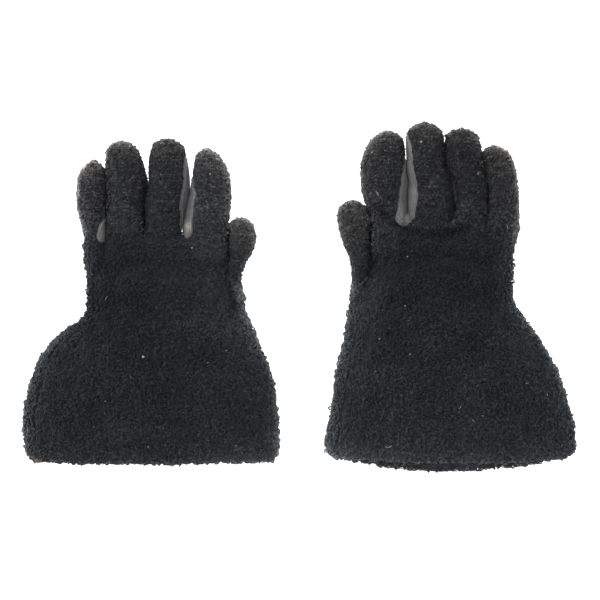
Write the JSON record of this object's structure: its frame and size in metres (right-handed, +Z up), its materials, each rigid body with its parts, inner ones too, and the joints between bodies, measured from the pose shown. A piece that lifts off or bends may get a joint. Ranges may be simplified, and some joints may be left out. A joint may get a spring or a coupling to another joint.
{
  "type": "pair of gauntlet gloves",
  "caption": "Pair of winter gauntlet gloves lying palm down, with curly pile backs, leather fourchettes between the fingers and wide flared cuffs.",
  "frame": {"origin": "middle of the pair's plan, on the surface the gloves lie on", "axes": "+Z up through the backs of the gloves, +Y from the hems towards the fingertips, +X from the left-hand glove to the right-hand glove"},
  "size_m": [0.4692, 0.294, 0.04],
  "materials": {
    "cuff_pile": "curly pile, matt",
    "hand_pile": "curly pile, matt",
    "finger_pile": "short matted pile, worn",
    "fourchette_leather": "suede side out, matt",
    "palm_leather": "smooth, satin",
    "liner_knit": "brushed knit, matt"
  },
  "bodies": {
    "left_cuff": {"left_cuff_back": "cuff_pile", "left_cuff_palm": "cuff_pile", "left_cuff_liner": "liner_knit"},
    "right_cuff": {"right_cuff_back": "cuff_pile", "right_cuff_palm": "cuff_pile", "right_cuff_liner": "liner_knit"},
    "left_hand": {"left_hand_back": "hand_pile", "left_hand_palm": "palm_leather", "left_hand_liner": "liner_knit"},
    "left_thumb_base": {"left_thumb_base_back": "finger_pile", "left_thumb_base_palm": "palm_leather"},
    "left_thumb_tip": {"left_thumb_tip_back": "finger_pile", "left_thumb_tip_palm": "palm_leather"},
    "left_index_base": {"left_index_base_back": "finger_pile", "left_index_base_palm": "palm_leather", "left_index_base_fourchette": "fourchette_leather"},
    "left_index_tip": {"left_index_tip_back": "finger_pile", "left_index_tip_palm": "palm_leather"},
    "left_middle_base": {"left_middle_base_back": "finger_pile", "left_middle_base_palm": "palm_leather", "left_middle_base_fourchette": "fourchette_leather"},
    "left_middle_tip": {"left_middle_tip_back": "finger_pile", "left_middle_tip_palm": "palm_leather"},
    "left_ring_base": {"left_ring_base_back": "finger_pile", "left_ring_base_palm": "palm_leather", "left_ring_base_fourchette": "fourchette_leather"},
    "left_ring_tip": {"left_ring_tip_back": "finger_pile", "left_ring_tip_palm": "palm_leather"},
    "left_little_base": {"left_little_base_back": "finger_pile", "left_little_base_palm": "palm_leather", "left_little_base_fourchette": "fourchette_leather"},
    "left_little_tip": {"left_little_tip_back": "finger_pile", "left_little_tip_palm": "palm_leather"},
    "right_hand": {"right_hand_back": "hand_pile", "right_hand_palm": "palm_leather", "right_hand_liner": "liner_knit"},
    "right_thumb_base": {"right_thumb_base_back": "finger_pile", "right_thumb_base_palm": "palm_leather"},
    "right_thumb_tip": {"right_thumb_tip_back": "finger_pile", "right_thumb_tip_palm": "palm_leather"},
    "right_index_base": {"right_index_base_back": "finger_pile", "right_index_base_palm": "palm_leather", "right_index_base_fourchette": "fourchette_leather"},
    "right_index_tip": {"right_index_tip_back": "finger_pile", "right_index_tip_palm": "palm_leather"},
    "right_middle_base": {"right_middle_base_back": "finger_pile", "right_middle_base_palm": "palm_leather", "right_middle_base_fourchette": "fourchette_leather"},
    "right_middle_tip": {"right_middle_tip_back": "finger_pile", "right_middle_tip_palm": "palm_leather"},
    "right_ring_base": {"right_ring_base_back": "finger_pile", "right_ring_base_palm": "palm_leather", "right_ring_base_fourchette": "fourchette_leather"},
    "right_ring_tip": {"right_ring_tip_back": "finger_pile", "right_ring_tip_palm": "palm_leather"},
    "right_little_base": {"right_little_base_back": "finger_pile", "right_little_base_palm": "palm_leather", "right_little_base_fourchette": "fourchette_leather"},
    "right_little_tip": {"right_little_tip_back": "finger_pile", "right_little_tip_palm": "palm_leather"}
  },
  "joints": [
    {"name": "right_glove_slide", "type": "slide", "parent": "left_cuff", "child": "right_cuff", "axis": [1, 0, 0], "range_m": [0, 0.12]},
    {"name": "left_wrist", "type": "hinge", "parent": "left_cuff", "child": "left_hand", "pos_m": [-0.1142, -0.0083, 0.016], "axis": [-1, 0, 0], "range_deg": [-35, 35], "stiffness_Nm_per_rad": 0.12},
    {"name": "left_thumb_spread", "type": "hinge", "parent": "left_hand", "child": "left_thumb_base", "pos_m": [-0.0504, 0.0041, 0.0125], "axis": [0, 0, -1], "range_deg": [0, 40], "stiffness_Nm_per_rad": 0.03},
    {"name": "left_thumb_bend", "type": "hinge", "parent": "left_thumb_base", "child": "left_thumb_tip", "pos_m": [-0.0502, 0.0417, 0.011], "axis": [-1, 0, 0], "range_deg": [0, 70], "stiffness_Nm_per_rad": 0.02},
    {"name": "left_index_knuckle", "type": "hinge", "parent": "left_hand", "child": "left_index_base", "pos_m": [-0.0786, 0.0477, 0.011], "axis": [-1, 0, 0], "range_deg": [-15, 75], "stiffness_Nm_per_rad": 0.04},
    {"name": "left_index_middle", "type": "hinge", "parent": "left_index_base", "child": "left_index_tip", "pos_m": [-0.0786, 0.0817, 0.011], "axis": [-1, 0, 0], "range_deg": [0, 85], "stiffness_Nm_per_rad": 0.02},
    {"name": "left_middle_knuckle", "type": "hinge", "parent": "left_hand", "child": "left_middle_base", "pos_m": [-0.1142, 0.0477, 0.011], "axis": [-1, 0, 0], "range_deg": [-15, 75], "stiffness_Nm_per_rad": 0.04},
    {"name": "left_middle_middle", "type": "hinge", "parent": "left_middle_base", "child": "left_middle_tip", "pos_m": [-0.1142, 0.0857, 0.011], "axis": [-1, 0, 0], "range_deg": [0, 85], "stiffness_Nm_per_rad": 0.02},
    {"name": "left_ring_knuckle", "type": "hinge", "parent": "left_hand", "child": "left_ring_base", "pos_m": [-0.1486, 0.0477, 0.011], "axis": [-1, 0, 0], "range_deg": [-15, 75], "stiffness_Nm_per_rad": 0.04},
    {"name": "left_ring_middle", "type": "hinge", "parent": "left_ring_base", "child": "left_ring_tip", "pos_m": [-0.1486, 0.0847, 0.011], "axis": [-1, 0, 0], "range_deg": [0, 85], "stiffness_Nm_per_rad": 0.02},
    {"name": "left_little_knuckle", "type": "hinge", "parent": "left_hand", "child": "left_little_base", "pos_m": [-0.1748, 0.0477, 0.011], "axis": [-1, 0, 0], "range_deg": [-15, 75], "stiffness_Nm_per_rad": 0.04},
    {"name": "left_little_middle", "type": "hinge", "parent": "left_little_base", "child": "left_little_tip", "pos_m": [-0.1748, 0.0777, 0.011], "axis": [-1, 0, 0], "range_deg": [0, 85], "stiffness_Nm_per_rad": 0.02},
    {"name": "right_wrist", "type": "hinge", "parent": "right_cuff", "child": "right_hand", "pos_m": [0.1118, -0.0032, 0.016], "axis": [-1, 0, 0], "range_deg": [-35, 35], "stiffness_Nm_per_rad": 0.12},
    {"name": "right_thumb_spread", "type": "hinge", "parent": "right_hand", "child": "right_thumb_base", "pos_m": [0.0474, 0.0102, 0.0125], "axis": [0, 0, 1], "range_deg": [0, 40], "stiffness_Nm_per_rad": 0.03},
    {"name": "right_thumb_bend", "type": "hinge", "parent": "right_thumb_base", "child": "right_thumb_tip", "pos_m": [0.0478, 0.0538, 0.011], "axis": [-1, 0, 0], "range_deg": [0, 70], "stiffness_Nm_per_rad": 0.02},
    {"name": "right_index_knuckle", "type": "hinge", "parent": "right_hand", "child": "right_index_base", "pos_m": [0.0756, 0.0633, 0.011], "axis": [-1, 0, 0], "range_deg": [-15, 75], "stiffness_Nm_per_rad": 0.04},
    {"name": "right_index_middle", "type": "hinge", "parent": "right_index_base", "child": "right_index_tip", "pos_m": [0.0738, 0.0973, 0.011], "axis": [-1, 0, 0], "range_deg": [0, 85], "stiffness_Nm_per_rad": 0.02},
    {"name": "right_middle_knuckle", "type": "hinge", "parent": "right_hand", "child": "right_middle_base", "pos_m": [0.1121, 0.0633, 0.011], "axis": [-1, 0, 0], "range_deg": [-15, 75], "stiffness_Nm_per_rad": 0.04},
    {"name": "right_middle_middle", "type": "hinge", "parent": "right_middle_base", "child": "right_middle_tip", "pos_m": [0.1103, 0.1013, 0.011], "axis": [-0.9962, -0.0872, 0], "range_deg": [0, 85], "stiffness_Nm_per_rad": 0.02},
    {"name": "right_ring_knuckle", "type": "hinge", "parent": "right_hand", "child": "right_ring_base", "pos_m": [0.1451, 0.0633, 0.011], "axis": [-1, 0, 0], "range_deg": [-15, 75], "stiffness_Nm_per_rad": 0.04},
    {"name": "right_ring_middle", "type": "hinge", "parent": "right_ring_base", "child": "right_ring_tip", "pos_m": [0.1433, 0.0993, 0.011], "axis": [-0.9877, -0.1564, 0], "range_deg": [0, 85], "stiffness_Nm_per_rad": 0.02},
    {"name": "right_little_knuckle", "type": "hinge", "parent": "right_hand", "child": "right_little_base", "pos_m": [0.1724, 0.0633, 0.011], "axis": [-1, 0, 0], "range_deg": [-15, 75], "stiffness_Nm_per_rad": 0.04},
    {"name": "right_little_middle", "type": "hinge", "parent": "right_little_base", "child": "right_little_tip", "pos_m": [0.1708, 0.0953, 0.011], "axis": [-0.9877, -0.1564, 0], "range_deg": [0, 85], "stiffness_Nm_per_rad": 0.02}
  ]
}
